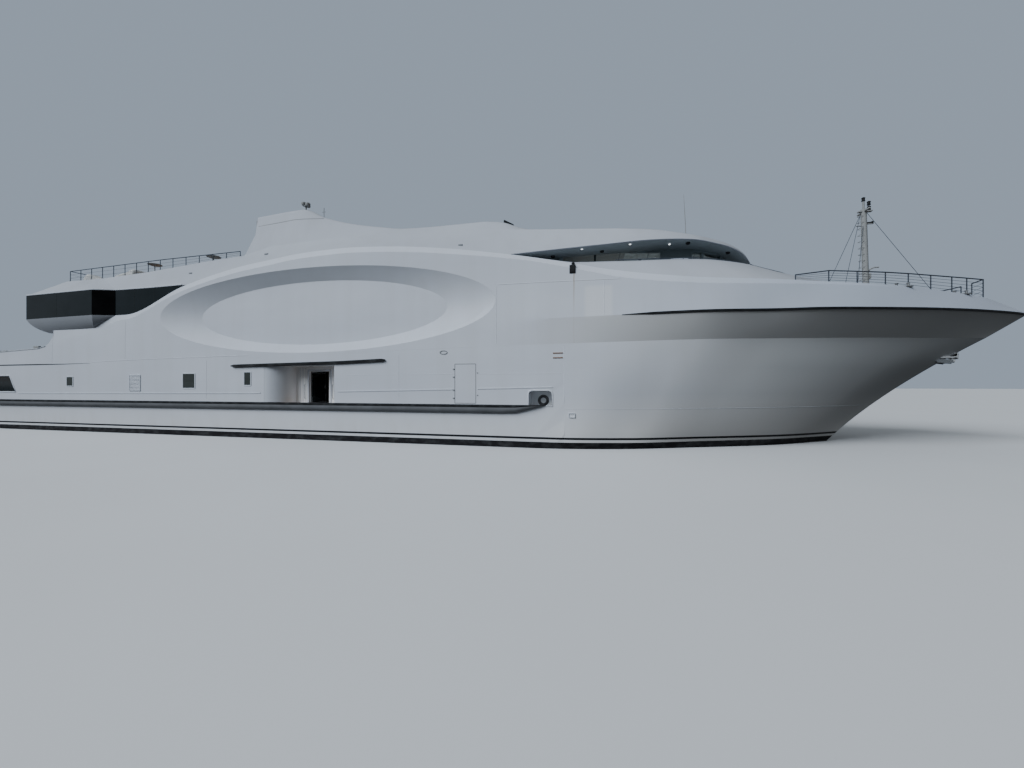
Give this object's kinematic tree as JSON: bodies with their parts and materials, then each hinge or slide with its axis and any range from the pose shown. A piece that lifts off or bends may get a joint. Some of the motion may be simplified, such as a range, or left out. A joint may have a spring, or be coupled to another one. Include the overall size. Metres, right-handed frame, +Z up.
{
  "type": "superyacht, 1:2 scale model",
  "caption": "Superyacht afloat with raked bow, oval side recesses, visored wheelhouse, finned sky deck and overhanging glazed lounge; propellers, rudders, doors, hatch and radar move.",
  "frame": {"origin": "on the centreline at the waterline, at the aft end of the swim platform", "axes": "+X to the bow, +Y to port, +Z up"},
  "size_m": [34.85, 6.4, 8.225],
  "materials": {
    "hull_white": "gloss",
    "antifouling": "matte",
    "black_rubber": "matte",
    "black_paint": "satin",
    "tinted_glass": "gloss",
    "steel": "satin",
    "bronze": "satin",
    "grey_paint": "satin",
    "dome_white": "gloss"
  },
  "bodies": {
    "hull": {"hull_bottom": "antifouling", "hull_stern_block": "hull_white", "hull_aft_block": "hull_white", "hull_boarding_block": "hull_white", "hull_mid_block": "hull_white", "hull_mooring_block": "hull_white", "hull_bow_block": "hull_white", "upper_topsides": "hull_white", "bow_topsides": "hull_white", "aft_bulwark": "hull_white", "lounge_soffit": "hull_white", "lounge_glass": "tinted_glass", "sun_deck_block": "hull_white", "deckhouse": "hull_white", "trunk": "hull_white", "wheelhouse_wall": "grey_paint", "wheelhouse_glass": "tinted_glass", "visor": "hull_white", "rub_strake_stbd": "black_rubber", "rub_strake_port": "black_rubber", "gangway_rub_rail_stbd": "black_rubber", "gangway_rub_rail_port": "black_rubber", "hatch_coaming": "hull_white", "shaft_stbd": "steel", "shaft_port": "steel", "foremast": "grey_paint", "bow_rail_stbd": "steel", "bow_rail_port": "steel", "sun_deck_rail_stbd": "steel", "sun_deck_rail_port": "steel", "bitts_stbd": "black_paint", "bitts_port": "black_paint", "windlass": "grey_paint", "anchor": "black_paint", "fairlead_stbd": "black_paint", "fairlead_port": "black_paint", "satellite_dome_stbd": "dome_white", "satellite_dome_port": "dome_white", "radar_pedestal": "dome_white", "fin_light": "black_paint", "whip_antenna": "black_paint", "side_light_stbd": "black_paint", "side_light_port": "black_paint"},
    "propeller_stbd": {"propeller_stbd": "bronze"},
    "propeller_port": {"propeller_port": "bronze"},
    "rudder_stbd": {"rudder_stbd": "antifouling"},
    "rudder_port": {"rudder_port": "antifouling"},
    "radar_scanner": {"radar_scanner": "dome_white"},
    "boarding_door_stbd": {"boarding_door_stbd": "grey_paint"},
    "boarding_door_port": {"boarding_door_port": "grey_paint"},
    "shell_door_stbd": {"shell_door_stbd": "hull_white"},
    "shell_door_port": {"shell_door_port": "hull_white"},
    "terrace_door_stbd": {"terrace_door_stbd": "tinted_glass"},
    "terrace_door_port": {"terrace_door_port": "tinted_glass"},
    "foredeck_hatch": {"foredeck_hatch": "grey_paint"}
  },
  "joints": [
    {"name": "propeller_stbd_spin", "type": "hinge", "parent": "hull", "child": "propeller_stbd", "pos_m": [1.65, -1.45, -0.65], "axis": [1, 0, 0], "continuous": true},
    {"name": "propeller_port_spin", "type": "hinge", "parent": "hull", "child": "propeller_port", "pos_m": [1.65, 1.45, -0.65], "axis": [1, 0, 0], "continuous": true},
    {"name": "rudder_stbd_turn", "type": "hinge", "parent": "hull", "child": "rudder_stbd", "pos_m": [0.875, -1.45, -0.5], "axis": [0, 0, 1], "range_deg": [-35, 35]},
    {"name": "rudder_port_turn", "type": "hinge", "parent": "hull", "child": "rudder_port", "pos_m": [0.875, 1.45, -0.5], "axis": [0, 0, 1], "range_deg": [-35, 35]},
    {"name": "radar_spin", "type": "hinge", "parent": "hull", "child": "radar_scanner", "pos_m": [19.5, 0, 6.5], "axis": [0, 0, 1], "continuous": true},
    {"name": "boarding_door_stbd_swing", "type": "hinge", "parent": "hull", "child": "boarding_door_stbd", "pos_m": [16.33, -2.359, 0.925], "axis": [0, 0, 1], "range_deg": [-90, 0]},
    {"name": "boarding_door_port_swing", "type": "hinge", "parent": "hull", "child": "boarding_door_port", "pos_m": [16.33, 2.359, 0.925], "axis": [0, 0, 1], "range_deg": [0, 90]},
    {"name": "shell_door_stbd_swing", "type": "hinge", "parent": "hull", "child": "shell_door_stbd", "pos_m": [21.1503, -3.05, 1.05], "axis": [0, 0, 1], "range_deg": [-100, 0]},
    {"name": "shell_door_port_swing", "type": "hinge", "parent": "hull", "child": "shell_door_port", "pos_m": [21.1503, 3.05, 1.05], "axis": [0, 0, 1], "range_deg": [0, 100]},
    {"name": "terrace_door_stbd_slide", "type": "slide", "parent": "hull", "child": "terrace_door_stbd", "axis": [0, -1, 0], "range_m": [0, 0.62]},
    {"name": "terrace_door_port_slide", "type": "slide", "parent": "hull", "child": "terrace_door_port", "axis": [0, 1, 0], "range_m": [0, 0.62]},
    {"name": "foredeck_hatch_lift", "type": "hinge", "parent": "hull", "child": "foredeck_hatch", "pos_m": [32.21, 0, 3.3703], "axis": [0, -1, 0], "range_deg": [0, 95]}
  ],
  "couplings": [
    {"joint": "rudder_port_turn", "follows": "rudder_stbd_turn", "ratio": 1},
    {"joint": "terrace_door_port_slide", "follows": "terrace_door_stbd_slide", "ratio": 1}
  ]
}
